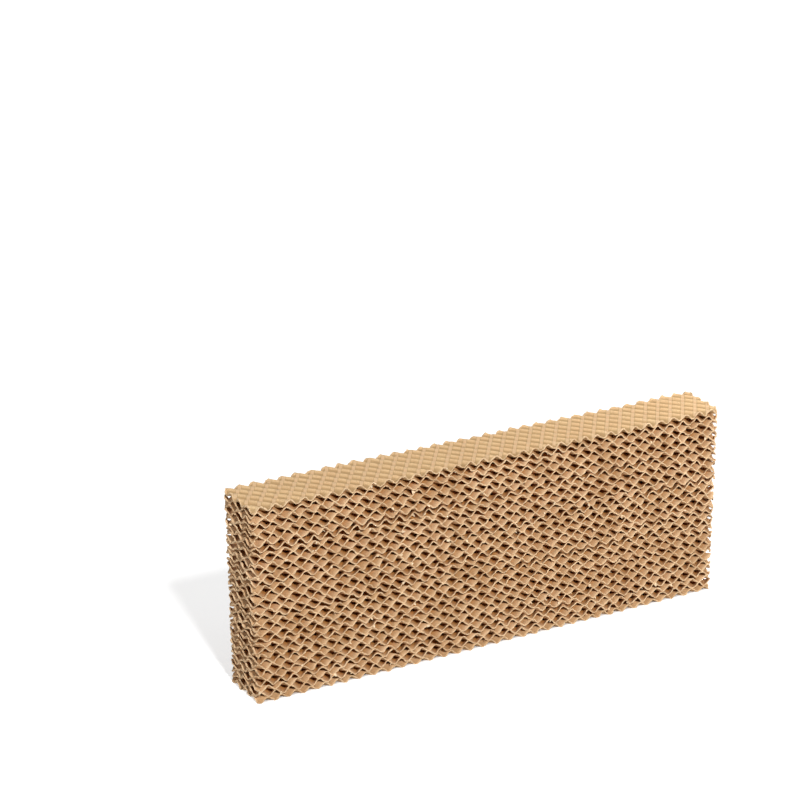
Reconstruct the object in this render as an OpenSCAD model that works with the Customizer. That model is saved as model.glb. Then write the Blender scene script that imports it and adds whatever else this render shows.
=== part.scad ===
// Evaporative cooling pad: fluted kraft paper sheets, stacked and glued crest to crest.
// The flutes of every second sheet lean the other way, so each pair of sheets leaves open cells.
// Millimetres. The pad stands on its lowest sheet, origin at the middle of the underside,
// +X along its length, the front air face toward -Y, +Z up through the stack.

/* [Pad] */
// Length of the pad, along the air faces
pad_length = 600; // [300:1:1200]
// Depth of the pad, from the front air face to the back one
pad_depth = 64; // [40:1:150]
// Height of the stack of sheets
pad_height = 238; // [100:0.1:300]

/* [Flutes] */
// Height of a flute from trough to crest, which a whole number of sheets rounds to fill the stack
flute_height = 6.8; // [5:0.1:12]
// Distance from crest to crest along an air face
face_pitch = 17.5; // [11:0.1:30]
// Lean of the odd sheets' flutes from the straight way through the pad, toward the left end
odd_lean = 43; // [15:0.5:60]
// Lean of the even sheets' flutes, toward the right end
even_lean = 34; // [15:0.5:60]
// Width of the flat land along a crest, where the next sheet is glued on
land_width = 2; // [1:0.1:3]
// How far the stack creeps along the pad with each sheet, besides the half wave that opens the cells
lay_step = 0.6; // [0:0.05:2]

/* [Paper] */
// Thickness of the stiffened paper
paper = 0.5; // [0.3:0.05:0.8]

/* [Hidden] */
// Sheets in the stack, the height of each, and how far the middle of its paper swings up and down
sheet_count = round(pad_height / flute_height);
sheet_height = pad_height / sheet_count;
half_wave = (sheet_height - paper) / 2;
// Kraft brown
kraft = [0.72, 0.58, 0.42];

// Crest to crest square to flutes of this lean
function flute_pitch(lean) = face_pitch * cos(lean);

// Slope of the flanks between the lands
function flank_angle(lean) = atan2(2 * half_wave, flute_pitch(lean) / 2 - land_width);

// A fold moves the land's edges out on its outer side and in on its inner side
function fold_shift(lean) = paper / 2 * tan(flank_angle(lean) / 2);

// Fluted paper before trimming, wide and long enough on either side of the front edge
function wave_count(lean) =
  ceil((pad_length * cos(lean) + 2 * pad_depth * sin(lean)) / flute_pitch(lean)) + 2;
function flute_run(lean) = pad_length * sin(lean) + 2 * pad_depth * cos(lean) + 2 * flute_pitch(lean);

// One side of the wave, with the half widths of its lands on the crests and in the troughs
function wave_side(lean, height, crest, trough) = [
  for (wave = [0 : wave_count(lean) - 1])
    let (middle = (wave - floor(wave_count(lean) / 2)) * flute_pitch(lean))
      each [
        [middle - crest, height + half_wave],
        [middle + crest, height + half_wave],
        [middle + flute_pitch(lean) / 2 - trough, height - half_wave],
        [middle + flute_pitch(lean) / 2 + trough, height - half_wave]
      ]
];

function backwards(points) = [for (i = [len(points) - 1 : -1 : 0]) points[i]];

// The fluted paper in section, square to the flutes
module wave_section(lean) {
  outer_land = land_width / 2 + fold_shift(lean);
  inner_land = land_width / 2 - fold_shift(lean);
  polygon(concat(
    wave_side(lean, paper / 2, outer_land, inner_land),
    backwards(wave_side(lean, -paper / 2, inner_land, outer_land))
  ));
}

// One sheet, numbered from the bottom and trimmed to the pad's outline
module fluted_sheet(number) {
  even = number % 2 == 0;
  lean = even ? even_lean : odd_lean;
  laid = number * (face_pitch / 2 + lay_step) % face_pitch;
  color(kraft)
    translate([0, 0, (number - 0.5) * sheet_height])
      intersection() {
        cube([pad_length, pad_depth, 2 * sheet_height], center = true);
        translate([laid, -pad_depth / 2, 0])
          rotate([0, 0, even ? -lean : lean])
            rotate([90, 0, 0])
              linear_extrude(height = flute_run(lean), center = true)
                wave_section(lean);
      }
}

for (number = [1 : sheet_count])
  fluted_sheet(number);
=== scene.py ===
import math
import random

import bpy
from mathutils import Matrix, Vector


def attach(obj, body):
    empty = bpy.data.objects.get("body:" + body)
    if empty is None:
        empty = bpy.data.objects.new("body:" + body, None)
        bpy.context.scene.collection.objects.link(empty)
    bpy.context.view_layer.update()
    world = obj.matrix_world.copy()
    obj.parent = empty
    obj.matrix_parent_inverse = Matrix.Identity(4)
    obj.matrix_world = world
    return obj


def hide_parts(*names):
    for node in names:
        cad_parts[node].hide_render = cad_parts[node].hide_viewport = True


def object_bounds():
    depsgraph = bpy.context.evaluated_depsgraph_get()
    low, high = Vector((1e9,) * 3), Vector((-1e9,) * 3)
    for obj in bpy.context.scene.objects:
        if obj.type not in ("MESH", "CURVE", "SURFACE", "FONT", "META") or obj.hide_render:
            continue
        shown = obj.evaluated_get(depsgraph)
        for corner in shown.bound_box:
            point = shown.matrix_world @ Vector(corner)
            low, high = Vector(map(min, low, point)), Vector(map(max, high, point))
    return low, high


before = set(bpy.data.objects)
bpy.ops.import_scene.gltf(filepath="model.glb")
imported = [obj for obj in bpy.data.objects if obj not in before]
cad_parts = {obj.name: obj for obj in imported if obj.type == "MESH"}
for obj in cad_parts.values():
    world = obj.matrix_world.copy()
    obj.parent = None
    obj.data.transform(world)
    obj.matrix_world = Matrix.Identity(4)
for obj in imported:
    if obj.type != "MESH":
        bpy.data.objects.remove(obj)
cad_low, cad_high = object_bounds()

# The paper
# Kraft paper, stiffened with resin and left its own brown, a little different from roll to roll.
# Where the pad was sawn from its block the fibres stand open, so the cut edges are paler, and they are
# lightened further by a painted highlight.
KRAFT_TAN = (0.66, 0.422, 0.225, 1)
KRAFT_UMBER = (0.51, 0.290, 0.130, 1)
KRAFT_ROSE = (0.66, 0.410, 0.240, 1)
KRAFT_AGED = (0.77, 0.500, 0.265, 1)
KRAFT_PALE = (0.82, 0.590, 0.325, 1)
# Painted shade for the inside of the flutes, away from the sawn sides
KRAFT_PAINTED_DEEP_SHADE = (0.50, 0.210, 0.050, 1)
# Painted shade for the valleys of the outer sheet
KRAFT_PAINTED_VALLEY_SHADE = (0.44, 0.285, 0.135, 1)
FLECK = (0.33, 0.185, 0.080, 1)
PALE_SAWN_EDGE_AND_HIGHLIGHT = (0.86, 0.615, 0.375, 1)
TORN_FIBRE = (0.95, 0.750, 0.510, 1)
GLUE_LINE = (0.74, 0.515, 0.300, 1)
GLUE_BORDER = (0.40, 0.255, 0.130, 1)


def linked(tree, kind, inputs, **settings):
    """Adds a node, sets its properties, and feeds its inputs from sockets or plain values."""
    node = tree.nodes.new(kind)
    for name, value in settings.items():
        setattr(node, name, value)
    for key, value in inputs.items():
        if isinstance(value, bpy.types.NodeSocket):
            tree.links.new(value, node.inputs[key])
        else:
            node.inputs[key].default_value = value
    return node


def colour_mix(tree, share, first, second):
    """A blend of two colours, each a socket or a plain colour."""
    mix = linked(tree, "ShaderNodeMix", {"Factor": share}, data_type="RGBA")
    for socket, value in ((mix.inputs[6], first), (mix.inputs[7], second)):
        if isinstance(value, bpy.types.NodeSocket):
            tree.links.new(value, socket)
        else:
            socket.default_value = value
    return mix.outputs[2]


def fibre_group():
    """Mottle, fibres and dark flecks of kraft paper, as masks from 0 to 1, and a height for its bump."""
    group = bpy.data.node_groups.new("Kraft fibres", "ShaderNodeTree")
    sockets = group.interface
    sockets.new_socket("Mottle Scale", in_out="INPUT", socket_type="NodeSocketFloat")
    sockets.new_socket("Fibre Scale", in_out="INPUT", socket_type="NodeSocketFloat")
    sockets.new_socket("Fleck Scale", in_out="INPUT", socket_type="NodeSocketFloat")
    sockets.new_socket("Tone", in_out="OUTPUT", socket_type="NodeSocketFloat")
    sockets.new_socket("Fleck", in_out="OUTPUT", socket_type="NodeSocketFloat")
    sockets.new_socket("Height", in_out="OUTPUT", socket_type="NodeSocketFloat")
    given = group.nodes.new("NodeGroupInput")
    put_out = group.nodes.new("NodeGroupOutput")
    place = linked(group, "ShaderNodeTexCoord", {}).outputs["Object"]
    along = linked(group, "ShaderNodeMapping", {"Vector": place, "Scale": (0.35, 1.0, 1.0)})
    mottle = linked(group, "ShaderNodeTexNoise",
                    {"Vector": place, "Scale": given.outputs["Mottle Scale"], "Detail": 3.0})
    fibres = linked(group, "ShaderNodeTexNoise",
                    {"Vector": along.outputs["Vector"], "Scale": given.outputs["Fibre Scale"],
                     "Detail": 4.0, "Roughness": 0.65})
    mixed = linked(group, "ShaderNodeMath", {0: mottle.outputs["Fac"], 1: fibres.outputs["Fac"]},
                   operation="ADD")
    tone = linked(group, "ShaderNodeMapRange",
                  {"Value": mixed.outputs[0], "From Min": 0.65, "From Max": 1.35})
    turned = linked(group, "ShaderNodeMapping",
                    {"Vector": place, "Rotation": (0.7, 0.4, 1.1), "Scale": (0.22, 1.0, 1.0)})
    shives = linked(group, "ShaderNodeTexNoise",
                    {"Vector": turned.outputs["Vector"], "Scale": given.outputs["Fleck Scale"],
                     "Detail": 1.0})
    fleck = linked(group, "ShaderNodeMapRange",
                   {"Value": shives.outputs["Fac"], "From Min": 0.60, "From Max": 0.72})
    group.links.new(fleck.outputs["Result"], put_out.inputs["Fleck"])
    group.links.new(tone.outputs["Result"], put_out.inputs["Tone"])
    group.links.new(fibres.outputs["Fac"], put_out.inputs["Height"])
    return group


kraft_fibres = fibre_group()


def shader_math(tree, operation, a, b=0.0, c=0.0):
    """One step of arithmetic in a node tree, returned as the socket of its result."""
    return linked(tree, "ShaderNodeMath", {0: a, 1: b, 2: c}, operation=operation).outputs[0]


def eased(tree, value, start, stop, first=0.0, last=1.0):
    """A smooth step of a value from one number to another."""
    return linked(tree, "ShaderNodeMapRange",
                  {"Value": value, "From Min": start, "From Max": stop, "To Min": first, "To Max": last},
                  interpolation_type="SMOOTHSTEP").outputs["Result"]


# Crest to crest along an air face, and the lean and place of the glue lines on the top
FACE_PITCH = 0.0175
GLUE_LEAN = math.tan(math.radians(34))
GLUE_LAID = 0.004
# Half the width of a glue line where it is full and where it ends, and of the border around it
LINE_FULL = 0.0020
LINE_END = 0.0028
BORDER_END = 0.0037
# How far below the crests the lines begin to fade, and where they are gone
LINE_FADES = 0.0034
LINE_GONE = 0.0046


def glue_lines(tree, face):
    """The pale lines, with a dark border, that the crests of a further sheet left on an outer one."""
    place = linked(tree, "ShaderNodeTexCoord", {}).outputs["Object"]
    blots = linked(tree, "ShaderNodeTexNoise", {"Vector": place, "Scale": 160.0, "Detail": 3.0})
    axes = linked(tree, "ShaderNodeSeparateXYZ", {"Vector": place})
    inward = shader_math(tree, "SUBTRACT", axes.outputs["Y"], cad_low.y)
    across = shader_math(tree, "SUBTRACT", axes.outputs["X"],
                         shader_math(tree, "MULTIPLY", inward, GLUE_LEAN))
    across = shader_math(tree, "SUBTRACT", across, GLUE_LAID)
    across = shader_math(tree, "MULTIPLY_ADD", blots.outputs["Fac"], 0.0012, across)
    off = shader_math(tree, "PINGPONG", across, FACE_PITCH / 2)
    touched = eased(tree, axes.outputs["Z"], cad_high.z - LINE_GONE, cad_high.z - LINE_FADES)
    broken = shader_math(tree, "MULTIPLY", eased(tree, blots.outputs["Fac"], 0.22, 0.45), touched)
    within = eased(tree, off, LINE_END, LINE_FULL)
    line = shader_math(tree, "MULTIPLY", within, broken)
    border = shader_math(tree, "SUBTRACT", eased(tree, off, BORDER_END, LINE_END), within)
    border = shader_math(tree, "MULTIPLY", border, touched)
    lined = colour_mix(tree, line, face, GLUE_LINE)
    return colour_mix(tree, shader_math(tree, "MULTIPLY", border, 0.5), lined, GLUE_BORDER)


def kraft_paper(name, outer):
    """Kraft paper. An outer sheet also shows where the next sheet of the block was glued on."""
    material = bpy.data.materials.new(name)
    material.use_nodes = True
    tree = material.node_tree
    shader = tree.nodes["Principled BSDF"]
    shader.inputs["Specular IOR Level"].default_value = 0.15
    shader.inputs["Roughness"].default_value = 0.85
    fibres = linked(tree, "ShaderNodeGroup", {}, node_tree=kraft_fibres)
    fibres.inputs["Mottle Scale"].default_value = 45
    fibres.inputs["Fibre Scale"].default_value = 900
    fibres.inputs["Fleck Scale"].default_value = 1300
    marks = {mark: linked(tree, "ShaderNodeAttribute", {}, attribute_name=mark).outputs["Fac"]
             for mark in ("roll_tint", "shade", "sawn_edge", "torn_fibre")}
    rolled = KRAFT_PALE if outer else colour_mix(tree, marks["roll_tint"], KRAFT_TAN, KRAFT_ROSE)
    face = colour_mix(tree, fibres.outputs["Tone"], KRAFT_AGED if outer else KRAFT_UMBER, rolled)
    face = colour_mix(tree, shader_math(tree, "MULTIPLY", fibres.outputs["Fleck"], 0.45), face, FLECK)
    if outer:
        # Outer sheet: painted shade in its valleys
        face = colour_mix(tree, marks["shade"], face, KRAFT_PAINTED_VALLEY_SHADE)
        face = glue_lines(tree, face)
    else:
        # Inner sheets: painted shade inside the flutes
        face = colour_mix(tree, marks["shade"], face, KRAFT_PAINTED_DEEP_SHADE)
    # The cut edges: pale open fibres, plus a painted highlight
    ragged = shader_math(tree, "MULTIPLY", marks["sawn_edge"],
                         eased(tree, fibres.outputs["Tone"], 0.2, 0.7, 0.35, 1.0))
    edged = colour_mix(tree, ragged, face, PALE_SAWN_EDGE_AND_HIGHLIGHT)
    torn = colour_mix(tree, marks["torn_fibre"], edged, TORN_FIBRE)
    tree.links.new(torn, shader.inputs["Base Color"])
    bump = linked(tree, "ShaderNodeBump",
                  {"Height": fibres.outputs["Height"], "Strength": 0.3, "Distance": 0.0004})
    tree.links.new(bump.outputs["Normal"], shader.inputs["Normal"])
    return material


paper_finish = kraft_paper("kraft_paper", False)
outer_finish = kraft_paper("kraft_paper_outer", True)

# The fluted sheets
# Each sheet is paper run through corrugating rolls at a lean, then laid on the sheet below with
# its flutes leaning the other way and glued where the crests cross. The block is sawn to size.
PAD_LENGTH = cad_high.x - cad_low.x
PAD_DEPTH = cad_high.y - cad_low.y
SHEET_COUNT = len(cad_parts)
SHEET_HEIGHT = (cad_high.z - cad_low.z) / SHEET_COUNT
PAPER = 0.0005
LEFT_LEAN = -math.tan(math.radians(43))
RIGHT_LEAN = math.tan(math.radians(34))
# How far in from a saw cut the paper is frayed and bent, and how far from a corner it is crushed
FRAYED_REACH = 0.0016
BENT_REACH = 0.009
CRUSHED_REACH = 0.014
# How far in the painted shade inside the flutes begins, and where it is full
PAINTED_SHADE_BEGINS = 0.004
PAINTED_SHADE_FULL = 0.0095
# Points along and across a sheet
COLUMNS = 450
TOP_COLUMNS = 500
TOP_ROWS = 60
BOTTOM_ROWS = 20
INNER_ROWS = 12


def fluted_sheet_tree():
    """Fluted paper as a rule: a grid whose columns follow the flutes, lifted into a rounded zigzag."""
    tree = bpy.data.node_groups.new("Fluted sheet", "GeometryNodeTree")
    sockets = tree.interface
    for name in ("Length", "Depth", "Lean", "Face Pitch", "Laid", "Level", "Half Wave", "Roundness",
                 "Wander", "Sway", "Slack", "Bend", "Fray", "Crush", "Corner", "Askew", "Pressed",
                 "Inner Shade", "Valley Shade", "Gather", "Roll Tint", "Seed"):
        sockets.new_socket(name, in_out="INPUT", socket_type="NodeSocketFloat")
    for name in ("Columns", "Rows"):
        sockets.new_socket(name, in_out="INPUT", socket_type="NodeSocketInt")
    sockets.new_socket("Paper Finish", in_out="INPUT", socket_type="NodeSocketMaterial")
    sockets.new_socket("Sheet", in_out="OUTPUT", socket_type="NodeSocketGeometry")
    given = tree.nodes.new("NodeGroupInput").outputs
    put_out = tree.nodes.new("NodeGroupOutput")

    def step(operation, a, b=0.0, c=0.0):
        return shader_math(tree, operation, a, b, c)

    def point(x, y, z):
        return linked(tree, "ShaderNodeCombineXYZ", {"X": x, "Y": y, "Z": z}).outputs[0]

    def noise(place, scale, detail):
        """Noise about zero, from about -0.5 to 0.5."""
        made = linked(tree, "ShaderNodeTexNoise", {"Vector": place, "Scale": scale, "Detail": detail})
        return step("SUBTRACT", made.outputs["Fac"], 0.5)

    def shake(place, scale, detail, reach):
        """A noisy offset about zero, with its own reach along each axis."""
        made = linked(tree, "ShaderNodeTexNoise", {"Vector": place, "Scale": scale, "Detail": detail})
        centred = linked(tree, "ShaderNodeVectorMath", {0: made.outputs["Color"], 1: (0.5, 0.5, 0.5)},
                         operation="SUBTRACT")
        return linked(tree, "ShaderNodeVectorMath", {0: centred.outputs[0], 1: reach},
                      operation="MULTIPLY").outputs[0]

    def scaled(vector, amount):
        return linked(tree, "ShaderNodeVectorMath", {0: vector, "Scale": amount},
                      operation="SCALE").outputs[0]

    def plus(first, second):
        return linked(tree, "ShaderNodeVectorMath", {0: first, 1: second}, operation="ADD").outputs[0]

    half_length = step("MULTIPLY", given["Length"], 0.5)
    half_depth = step("MULTIPLY", given["Depth"], 0.5)
    spread = step("MULTIPLY", step("ABSOLUTE", given["Lean"]), given["Depth"])
    width = step("ADD", given["Length"], spread)
    grid = linked(tree, "GeometryNodeMeshGrid",
                  {"Size X": width, "Size Y": given["Depth"],
                   "Vertices X": given["Columns"], "Vertices Y": given["Rows"]})
    place = linked(tree, "GeometryNodeInputPosition", {}).outputs["Position"]
    laid_flat = linked(tree, "ShaderNodeSeparateXYZ", {"Vector": place})

    # Each column runs along a flute from one sawn side to the other, its rows closer near the saw cuts
    flat_x = laid_flat.outputs["X"]
    one_end = step("DIVIDE", step("SUBTRACT", half_length, flat_x), given["Lean"])
    other_end = step("DIVIDE", step("SUBTRACT", step("MULTIPLY", half_length, -1.0), flat_x), given["Lean"])
    start = step("MAXIMUM", step("MINIMUM", one_end, other_end), step("MULTIPLY", half_depth, -1.0))
    stop = step("MINIMUM", step("MAXIMUM", one_end, other_end), half_depth)
    across = step("DIVIDE", laid_flat.outputs["Y"], half_depth)
    short = step("POWER", step("SUBTRACT", 1.0, step("ABSOLUTE", across)), given["Gather"])
    gathered = step("MULTIPLY", step("SIGN", across), step("SUBTRACT", 1.0, short))
    share = step("MULTIPLY_ADD", gathered, 0.5, 0.5)
    y = step("MULTIPLY_ADD", step("SUBTRACT", stop, start), share, start)
    x = step("MULTIPLY_ADD", given["Lean"], y, flat_x)

    # Where a point lies on the wave, in waves from a crest, with the wander that the rolls leave
    inward = step("ADD", y, half_depth)
    along = step("SUBTRACT", x, step("MULTIPLY", given["Lean"], inward))
    slow = noise(point(along, given["Seed"], 0.0), 4.5, 1.0)
    quick = noise(point(along, given["Seed"], 1.0), 38.0, 1.0)
    wander = step("MULTIPLY", step("MULTIPLY_ADD", quick, 0.3, slow), given["Wander"])
    waves = step("DIVIDE", step("SUBTRACT", along, given["Laid"]), given["Face Pitch"])
    swing = step("COSINE", step("MULTIPLY", step("ADD", waves, wander), math.tau))
    sharp = step("ARCSINE", step("MULTIPLY", swing, given["Roundness"]))
    wave = step("DIVIDE", sharp, step("ARCSINE", given["Roundness"]))
    # An outer sheet is pressed flat where the crests of the next sheet of the block were glued on
    missing = step("SUBTRACT", x, step("MULTIPLY", inward, GLUE_LEAN))
    missing = step("DIVIDE", step("SUBTRACT", missing, GLUE_LAID), FACE_PITCH)
    glued = eased(tree, step("COSINE", step("MULTIPLY", missing, math.tau)), 0.55, 0.85)
    flattened = step("SMOOTH_MIN", wave, step("SUBTRACT", 1.0, given["Pressed"]), 0.1)
    pressed = linked(tree, "ShaderNodeMix", {"Factor": glued, "A": wave, "B": flattened},
                     data_type="FLOAT").outputs["Result"]

    # The whole stack sways a little, neighbours together, and each sheet has some slack of its own
    sway = step("MULTIPLY", noise(point(x, y, given["Level"]), 9.0, 1.0), given["Sway"])
    own = step("ADD", given["Seed"], 7.0)
    slack = step("MULTIPLY", noise(point(x, y, own), 26.0, 1.0), given["Slack"])
    z = step("MULTIPLY_ADD", pressed, given["Half Wave"], given["Level"])
    z = step("ADD", z, step("ADD", sway, slack))

    # The sawn edges are bent and nibbled, and the upright corners are crushed inwards
    to_face = step("SUBTRACT", half_depth, step("ABSOLUTE", y))
    to_end = step("SUBTRACT", half_length, step("ABSOLUTE", x))
    to_edge = step("MINIMUM", to_face, to_end)
    to_corner = step("MAXIMUM", to_face, to_end)
    sawn = eased(tree, to_edge, 0.0, FRAYED_REACH, 1.0, 0.0)
    bent = eased(tree, to_edge, 0.0, BENT_REACH, 1.0, 0.0)
    corner = step("MULTIPLY", bent, eased(tree, to_corner, 0.0, CRUSHED_REACH, 1.0, 0.0))
    own_place = point(x, y, step("ADD", given["Level"], given["Seed"]))
    nibble = scaled(shake(own_place, 330.0, 3.0, (0.6, 1.0, 1.0)), step("MULTIPLY", sawn, given["Fray"]))
    bending = scaled(shake(own_place, 95.0, 1.0, (0.5, 0.4, 1.0)), step("MULTIPLY", bent, given["Bend"]))
    towards = point(step("MULTIPLY", step("SIGN", x), -0.1), step("MULTIPLY", step("SIGN", y), -0.1), 0.0)
    knock = plus(shake(own_place, 45.0, 1.0, (1.0, 1.0, 1.3)), towards)
    crushing = scaled(knock, step("MULTIPLY", corner, given["Crush"]))

    # The upright corners are worn round, and the left end was sawn a little out of square
    round_x = step("MAXIMUM", step("SUBTRACT", given["Corner"], to_end), 0.0)
    round_y = step("MAXIMUM", step("SUBTRACT", given["Corner"], to_face), 0.0)
    reach = step("SQRT", step("MULTIPLY_ADD", round_x, round_x, step("MULTIPLY", round_y, round_y)))
    drawn = step("MINIMUM", step("DIVIDE", given["Corner"], step("MAXIMUM", reach, 1e-6)), 1.0)
    in_x = step("MULTIPLY", round_x, step("SUBTRACT", 1.0, drawn))
    in_y = step("MULTIPLY", round_y, step("SUBTRACT", 1.0, drawn))
    askew = step("MULTIPLY", step("DIVIDE", inward, given["Depth"]), given["Askew"])
    askew = step("MULTIPLY", askew, step("SUBTRACT", 0.5, step("DIVIDE", x, given["Length"])))
    sawn_x = step("SUBTRACT", step("SUBTRACT", x, step("MULTIPLY", step("SIGN", x), in_x)), askew)
    sawn_y = step("SUBTRACT", y, step("MULTIPLY", step("SIGN", y), in_y))
    final = plus(plus(point(sawn_x, sawn_y, z), nibble), plus(bending, crushing))

    # Painted shade: darker inside the flutes, away from the sawn sides, and in the valleys of an outer
    # sheet
    painted_deep_shade = step("MULTIPLY", eased(tree, to_edge, PAINTED_SHADE_BEGINS, PAINTED_SHADE_FULL), given["Inner Shade"])
    # Painted shade in the valleys, darker lower on the wave
    low = step("MULTIPLY", eased(tree, wave, 0.62, 0.20), given["Valley Shade"])
    shade = step("MAXIMUM", painted_deep_shade, low)

    # The fields are read before the points move
    kept = linked(tree, "GeometryNodeCaptureAttribute", {"Geometry": grid.outputs["Mesh"]})
    for name, kind, value in (("Sawn", "FLOAT", sawn), ("Shade", "FLOAT", shade),
                              ("Final", "VECTOR", final)):
        kept.capture_items.new(kind, name)
        tree.links.new(value, kept.inputs[name])
    shape = linked(tree, "GeometryNodeSetPosition",
                   {"Geometry": kept.outputs["Geometry"],
                    "Position": kept.outputs["Final"]}).outputs["Geometry"]
    for name, value in (("sawn_edge", kept.outputs["Sawn"]), ("shade", kept.outputs["Shade"]),
                        ("roll_tint", given["Roll Tint"])):
        shape = linked(tree, "GeometryNodeStoreNamedAttribute",
                       {"Geometry": shape, "Name": name, "Value": value},
                       data_type="FLOAT", domain="POINT").outputs["Geometry"]
    shape = linked(tree, "GeometryNodeMergeByDistance",
                   {"Geometry": shape, "Distance": 2e-6}).outputs["Geometry"]
    shape = linked(tree, "GeometryNodeSetShadeSmooth", {"Geometry": shape}).outputs["Geometry"]
    shape = linked(tree, "GeometryNodeRealizeInstances", {"Geometry": shape}).outputs["Geometry"]
    shape = linked(tree, "GeometryNodeSetMaterial",
                   {"Geometry": shape, "Material": given["Paper Finish"]}).outputs["Geometry"]
    tree.links.new(shape, put_out.inputs["Sheet"])
    return tree


def socket_ids(tree):
    """The identifiers of a tree's inputs, by the names they are given above."""
    return {item.name: item.identifier for item in tree.interface.items_tree
            if item.item_type == "SOCKET" and item.in_out == "INPUT"}


sheet_tree = fluted_sheet_tree()
sheet_inputs = socket_ids(sheet_tree)


def sawn_rim_tree():
    """The open fibres of the cut edges: the paper's rim swells, and flakes of it stand torn."""
    tree = bpy.data.node_groups.new("Sawn rim", "GeometryNodeTree")
    sockets = tree.interface
    sockets.new_socket("Sheet", in_out="INPUT", socket_type="NodeSocketGeometry")
    for name in ("Swell", "End Swell", "Tears", "Tear Length", "Tear Width", "Ground"):
        sockets.new_socket(name, in_out="INPUT", socket_type="NodeSocketFloat")
    sockets.new_socket("Seed", in_out="INPUT", socket_type="NodeSocketInt")
    sockets.new_socket("Paper Finish", in_out="INPUT", socket_type="NodeSocketMaterial")
    sockets.new_socket("Sheet", in_out="OUTPUT", socket_type="NodeSocketGeometry")
    given = tree.nodes.new("NodeGroupInput").outputs
    put_out = tree.nodes.new("NodeGroupOutput")
    sawn = linked(tree, "GeometryNodeInputNamedAttribute", {"Name": "sawn_edge"},
                  data_type="FLOAT").outputs["Attribute"]
    place = linked(tree, "GeometryNodeInputPosition", {}).outputs["Position"]
    normal = linked(tree, "GeometryNodeInputNormal", {}).outputs["Normal"]
    tufts = linked(tree, "ShaderNodeTexNoise", {"Vector": place, "Scale": 420.0, "Detail": 1.0})
    tuft = eased(tree, tufts.outputs["Fac"], 0.3, 0.7, 0.2, 1.8)
    share = shader_math(tree, "POWER", sawn, 1.5)
    axes = linked(tree, "ShaderNodeSeparateXYZ", {"Vector": place})
    from_middle = shader_math(tree, "ABSOLUTE", axes.outputs["X"])
    at_end = eased(tree, from_middle, PAD_LENGTH / 2 - 0.004, PAD_LENGTH / 2 - 0.001)
    swell = shader_math(tree, "MULTIPLY_ADD", at_end, given["End Swell"], given["Swell"])
    amount = shader_math(tree, "MULTIPLY", shader_math(tree, "MULTIPLY", share, tuft), swell)
    offset = linked(tree, "ShaderNodeVectorMath", {0: normal, "Scale": amount}, operation="SCALE")
    swollen = linked(tree, "GeometryNodeSetPosition",
                     {"Geometry": given["Sheet"], "Offset": offset.outputs[0]}).outputs["Geometry"]

    # Torn flakes stand on the rim in clusters, each a thin wedge of few faces
    clusters = linked(tree, "ShaderNodeTexNoise", {"Vector": place, "Scale": 14.0, "Detail": 1.0})
    clustered = eased(tree, clusters.outputs["Fac"], 0.42, 0.66)
    density = shader_math(tree, "MULTIPLY", clustered, given["Tears"])
    on_rim = shader_math(tree, "GREATER_THAN", sawn, 0.99)
    roots = linked(tree, "GeometryNodeDistributePointsOnFaces",
                   {"Mesh": swollen, "Selection": on_rim, "Density": density, "Seed": given["Seed"]})
    flake = linked(tree, "GeometryNodeMeshCone",
                   {"Vertices": 5, "Radius Top": shader_math(tree, "MULTIPLY", given["Tear Width"], 0.45),
                    "Radius Bottom": given["Tear Width"], "Depth": given["Tear Length"]},
                   fill_type="NGON").outputs["Mesh"]
    flake = linked(tree, "GeometryNodeTransform",
                   {"Geometry": flake, "Rotation": (0.0, 0.35, 0.0),
                    "Scale": (1.0, 0.22, 1.0)}).outputs["Geometry"]
    for name in ("sawn_edge", "torn_fibre"):
        flake = linked(tree, "GeometryNodeStoreNamedAttribute",
                       {"Geometry": flake, "Name": name, "Value": 1.0},
                       data_type="FLOAT", domain="POINT").outputs["Geometry"]
    strewn = linked(tree, "FunctionNodeRandomValue",
                    {0: (-1.0, -1.0, -1.0), 1: (1.0, 1.0, 1.0), "Seed": given["Seed"]},
                    data_type="FLOAT_VECTOR").outputs[0]
    aim = linked(tree, "ShaderNodeVectorMath", {0: strewn, 1: roots.outputs["Normal"]},
                 operation="ADD").outputs[0]
    turn = linked(tree, "FunctionNodeAlignRotationToVector", {"Vector": aim}, axis="Z").outputs["Rotation"]
    grown = linked(tree, "FunctionNodeRandomValue", {2: 0.4, 3: 1.4, "Seed": given["Seed"]},
                   data_type="FLOAT").outputs[1]
    flakes = linked(tree, "GeometryNodeInstanceOnPoints",
                    {"Points": roots.outputs["Points"], "Instance": flake, "Rotation": turn,
                     "Scale": grown}).outputs["Instances"]
    whole = linked(tree, "GeometryNodeJoinGeometry", {})
    tree.links.new(flakes, whole.inputs["Geometry"])
    tree.links.new(swollen, whole.inputs["Geometry"])
    solid = linked(tree, "GeometryNodeRealizeInstances",
                   {"Geometry": whole.outputs["Geometry"]}).outputs["Geometry"]

    # Nothing goes below the ground that the pad stands on
    height = shader_math(tree, "MAXIMUM", axes.outputs["Z"], given["Ground"])
    stood = linked(tree, "ShaderNodeCombineXYZ",
                   {"X": axes.outputs["X"], "Y": axes.outputs["Y"], "Z": height}).outputs[0]
    solid = linked(tree, "GeometryNodeSetPosition",
                   {"Geometry": solid, "Position": stood}).outputs["Geometry"]
    solid = linked(tree, "GeometryNodeSetMaterial",
                   {"Geometry": solid, "Material": given["Paper Finish"]}).outputs["Geometry"]
    tree.links.new(solid, put_out.inputs["Sheet"])
    return tree


rim_tree = sawn_rim_tree()
rim_inputs = socket_ids(rim_tree)


def plain_mesh(maker, name):
    """The evaluated result of an object's modifiers as a new object with no modifier."""
    bpy.context.view_layer.update()
    evaluated = maker.evaluated_get(bpy.context.evaluated_depsgraph_get())
    mesh = bpy.data.meshes.new_from_object(evaluated)
    mesh.name = name
    made = bpy.data.objects.new(name, mesh)
    bpy.context.scene.collection.objects.link(made)
    bpy.data.objects.remove(maker)
    return made


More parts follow.
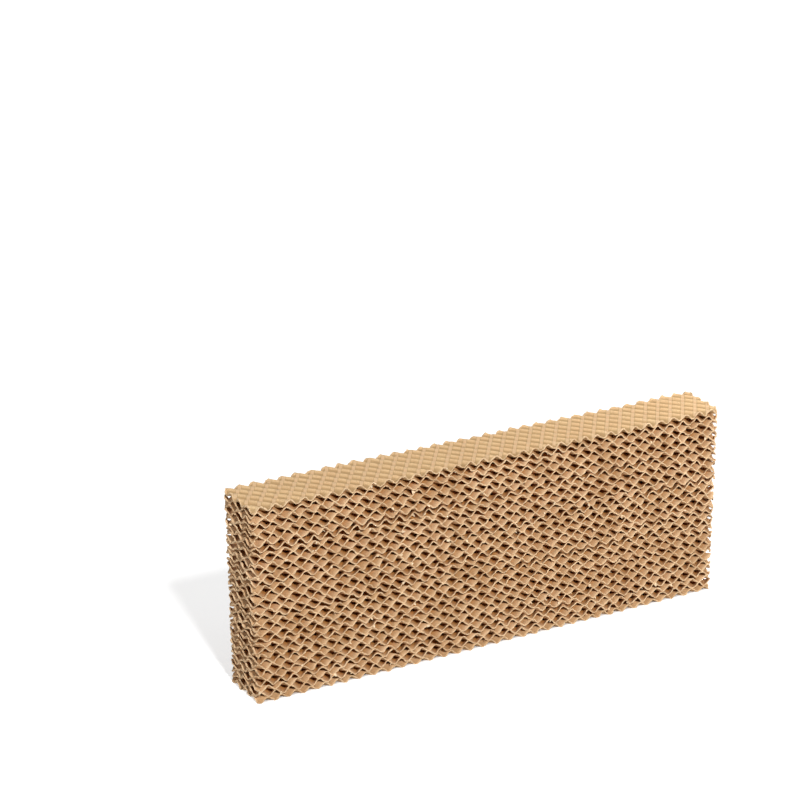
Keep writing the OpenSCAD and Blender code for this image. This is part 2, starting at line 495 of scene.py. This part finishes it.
# Each sheet lies about half a wave on from the one below, and its waves are a little longer or shorter.
# The two uppermost ones have shorter waves, which keep step along the front.
LEAST_STEP = 0.3
MOST_STEP = 0.7
MOST_STRETCH = 0.008
TOP_PAIR_STRETCH = -0.03
TOP_STEP = 0.25
LAY_SEED = 34
NOISE_APART = 3.7
chance = random.Random(LAY_SEED)
laid_by_number = {0: 0.0}
for number in range(1, SHEET_COUNT + 1):
    waves_on = chance.uniform(LEAST_STEP, MOST_STEP)
    laid_by_number[number] = laid_by_number[number - 1] + FACE_PITCH * waves_on
stretch_by_number = {}
for number in range(1, SHEET_COUNT + 1):
    stretch_by_number[number] = chance.uniform(-MOST_STRETCH, MOST_STRETCH)
stretch_by_number[SHEET_COUNT - 1] = TOP_PAIR_STRETCH
tint_by_number = {number: chance.uniform(0, 1) for number in range(1, SHEET_COUNT + 1)}


def lean_of(number):
    """The top and bottom sheets lean left, and every second one between them right."""
    return LEFT_LEAN if (SHEET_COUNT - number) % 2 == 0 else RIGHT_LEAN


def fluted_sheet(number):
    """One sheet of the stack, counted from the bottom. The top one takes its waves from the one below."""
    top = number == SHEET_COUNT
    bottom = number == 1
    laid_like = min(number, SHEET_COUNT - 1)
    maker = bpy.data.objects.new("sheet_maker", bpy.data.meshes.new("sheet_maker"))
    bpy.context.scene.collection.objects.link(maker)
    flutes = maker.modifiers.new("Flutes", "NODES")
    flutes.node_group = sheet_tree
    finish = outer_finish if top else paper_finish
    values = {
        "Length": PAD_LENGTH,
        "Depth": PAD_DEPTH,
        "Lean": lean_of(number),
        "Face Pitch": FACE_PITCH * (1 + stretch_by_number[laid_like]),
        "Laid": laid_by_number[laid_like] + (TOP_STEP * FACE_PITCH if top else 0.0),
        "Level": cad_low.z + (number - 0.5) * SHEET_HEIGHT,
        "Half Wave": (SHEET_HEIGHT - PAPER) / 2,
        "Roundness": 0.62,
        "Wander": 0.9,
        "Sway": 0.0 if bottom else 0.0014,
        "Slack": 0.0 if bottom else 0.0012,
        "Bend": 0.0040,
        "Fray": 0.0030,
        "Crush": 0.0026,
        "Corner": 0.005,
        "Askew": 0.006,
        "Pressed": 0.2 if top else 0.0,
        "Inner Shade": 0.0 if top or bottom else 0.95,
        "Valley Shade": 0.75 if top else 0.0,
        "Gather": 1.2 if top else 1.4 if bottom else 2.2,
        "Roll Tint": tint_by_number[number],
        "Seed": laid_like * NOISE_APART,
        "Columns": TOP_COLUMNS if top else COLUMNS,
        "Rows": TOP_ROWS if top else BOTTOM_ROWS if bottom else INNER_ROWS,
        "Paper Finish": finish,
    }
    for name, value in values.items():
        flutes[sheet_inputs[name]] = value
    wall = maker.modifiers.new("Paper", "SOLIDIFY")
    wall.thickness = PAPER
    wall.offset = 0.0
    rim = maker.modifiers.new("Rim", "NODES")
    rim.node_group = rim_tree
    rim[rim_inputs["Swell"]] = 0.00048
    rim[rim_inputs["End Swell"]] = 0.0003
    rim[rim_inputs["Tears"]] = 7000.0
    rim[rim_inputs["Tear Length"]] = 0.0028
    rim[rim_inputs["Tear Width"]] = 0.0016
    rim[rim_inputs["Ground"]] = cad_low.z
    rim[rim_inputs["Seed"]] = number
    rim[rim_inputs["Paper Finish"]] = finish
    return plain_mesh(maker, f"fluted_sheet_{number:02d}")


for number in range(1, SHEET_COUNT + 1):
    sheet = fluted_sheet(number)
    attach(sheet, "root")
    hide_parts(f"sheet_{number:02d}")

# The studio
# A white floor and a white world, one strong soft lamp high in front, and weak ones at either end and
# behind, seen by a long lens from the left and a little above.
CAMERA_PLACE = Vector((-1.112, -1.980, 1.2042))
CAMERA_AZIMUTH = math.radians(26.94)
CAMERA_DIP = math.radians(21.84)
CAMERA_ROLL = math.radians(-0.5)
CAMERA_LENS = 97.9
WORLD_LIGHT = 0.07


def seen_directly(tree):
    """One for rays that show the backdrop: from the camera, off gloss or through glass."""
    path = linked(tree, "ShaderNodeLightPath", {})
    shown = shader_math(tree, "MAXIMUM", path.outputs["Is Camera Ray"], path.outputs["Is Glossy Ray"])
    return shader_math(tree, "MAXIMUM", shown, path.outputs["Is Transmission Ray"])


def white_floor():
    """A floor that shows white, keeps the pad's shadow and has a painted contact shadow where the pad
    stands.
    """
    mesh = bpy.data.meshes.new("studio_floor")
    reach = 30.0
    mesh.from_pydata([(-reach, -reach, 0), (reach, -reach, 0), (reach, reach, 0), (-reach, reach, 0)],
                     [], [(0, 1, 2, 3)])
    floor = bpy.data.objects.new("studio_floor", mesh)
    bpy.context.scene.collection.objects.link(floor)
    material = bpy.data.materials.new("studio_white")
    material.use_nodes = True
    tree = material.node_tree
    tree.nodes.clear()
    lit = linked(tree, "ShaderNodeBsdfDiffuse", {"Color": (0.8, 0.8, 0.8, 1)})
    axes = linked(tree, "ShaderNodeSeparateXYZ",
                  {"Vector": linked(tree, "ShaderNodeTexCoord", {}).outputs["Object"]})
    beside = shader_math(tree, "SUBTRACT", shader_math(tree, "ABSOLUTE", axes.outputs["X"]), cad_high.x)
    before = shader_math(tree, "SUBTRACT", shader_math(tree, "ABSOLUTE", axes.outputs["Y"]), cad_high.y)
    outside = shader_math(tree, "MAXIMUM", beside, before)
    # Painted contact shadow: no glow where the pad stands; more glow far from the lamps keeps the floor
    # white
    near_glow_painted_shadow = eased(tree, outside, -0.005, 0.0, 0.0, 0.58)
    far = eased(tree, outside, 0.2, 1.6, 0.0, 0.44)
    level = shader_math(tree, "MULTIPLY", shader_math(tree, "ADD", near_glow_painted_shadow, far), seen_directly(tree))
    glow = linked(tree, "ShaderNodeEmission", {"Color": (1, 1, 1, 1), "Strength": level})
    both = linked(tree, "ShaderNodeAddShader", {0: lit.outputs[0], 1: glow.outputs[0]})
    out = linked(tree, "ShaderNodeOutputMaterial", {"Surface": both.outputs[0]})
    out.is_active_output = True
    mesh.materials.append(material)


def soft_lamp(name, place, aim, size, watts):
    """A round lamp that shines from its place at a point."""
    lamp = bpy.data.lights.new(name, "AREA")
    lamp.shape = "DISK"
    lamp.size = size
    lamp.energy = watts
    holder = bpy.data.objects.new(name, lamp)
    bpy.context.scene.collection.objects.link(holder)
    holder.location = place
    holder.rotation_euler = (Vector(aim) - Vector(place)).to_track_quat("-Z", "Y").to_euler()


def white_world():
    """A white surround that itself lights the pad only faintly."""
    world = bpy.data.worlds.new("studio_world")
    bpy.context.scene.world = world
    world.use_nodes = True
    tree = world.node_tree
    tree.nodes.clear()
    level = shader_math(tree, "MULTIPLY_ADD", seen_directly(tree), 1 - WORLD_LIGHT, WORLD_LIGHT)
    sky = linked(tree, "ShaderNodeBackground", {"Color": (1, 1, 1, 1), "Strength": level})
    linked(tree, "ShaderNodeOutputWorld", {"Surface": sky.outputs[0]})


def pad_camera():
    """The camera, turned by its azimuth and dip and then rolled about its line of sight."""
    camera = bpy.data.objects.new("pad_camera", bpy.data.cameras.new("pad_camera"))
    bpy.context.scene.collection.objects.link(camera)
    camera.data.lens = CAMERA_LENS
    camera.data.sensor_width = 36.0
    forward = Vector((math.sin(CAMERA_AZIMUTH) * math.cos(CAMERA_DIP),
                      math.cos(CAMERA_AZIMUTH) * math.cos(CAMERA_DIP), -math.sin(CAMERA_DIP)))
    level_right = Vector((math.cos(CAMERA_AZIMUTH), -math.sin(CAMERA_AZIMUTH), 0))
    level_up = level_right.cross(forward)
    right = level_right * math.cos(CAMERA_ROLL) + level_up * math.sin(CAMERA_ROLL)
    up = level_up * math.cos(CAMERA_ROLL) - level_right * math.sin(CAMERA_ROLL)
    turned = Matrix((right, up, -forward)).transposed().to_4x4()
    camera.matrix_world = Matrix.Translation(CAMERA_PLACE) @ turned
    bpy.context.scene.camera = camera


white_floor()
white_world()
soft_lamp("front_lamp", (-0.50, -2.95, 2.75), (0, 0, 0.1), 0.42, 125)
soft_lamp("left_lamp", (-2.3, -0.5, 0.9), (-0.2, 0, 0.1), 0.9, 10)
soft_lamp("right_lamp", (0.58, -0.14, 0.64), (0.28, 0, 0.23), 0.3, 1.9)
soft_lamp("back_lamp", (0.4, 2.6, 1.6), (0, 0, 0.12), 0.8, 22)
pad_camera()
bpy.context.scene.view_settings.view_transform = "Standard"
